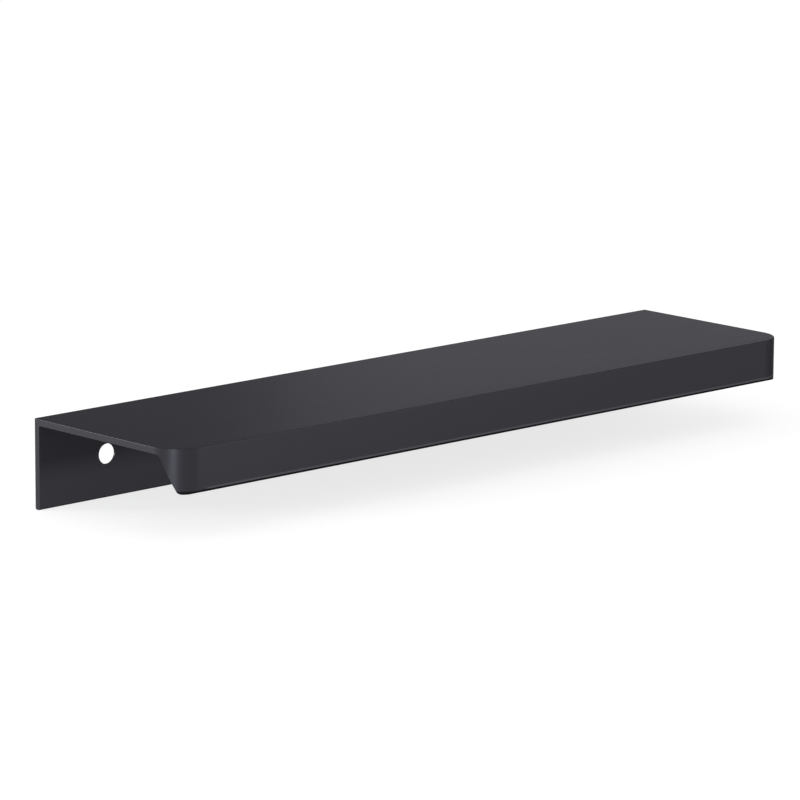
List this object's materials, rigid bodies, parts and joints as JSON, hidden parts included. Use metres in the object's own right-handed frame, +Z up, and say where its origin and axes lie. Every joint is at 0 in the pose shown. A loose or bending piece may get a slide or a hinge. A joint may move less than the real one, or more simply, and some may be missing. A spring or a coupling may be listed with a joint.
{
  "type": "furniture handle",
  "caption": "Matt black edge pull for a drawer or cabinet door: rear screw flange, thin top plate and a wedge-shaped finger lip with rounded front corners.",
  "frame": {"origin": "midway between the two screw holes, on the flange face that bears on the back of the panel", "axes": "+X along the pull, +Y out of the back of the panel into the cabinet, +Z up; the finger lip is on the -Y side"},
  "size_m": [0.2, 0.049, 0.0213],
  "materials": {
    "black_coat": "matt black coat"
  },
  "bodies": {
    "root": {"edge_pull": "black_coat"}
  },
  "joints": []
}
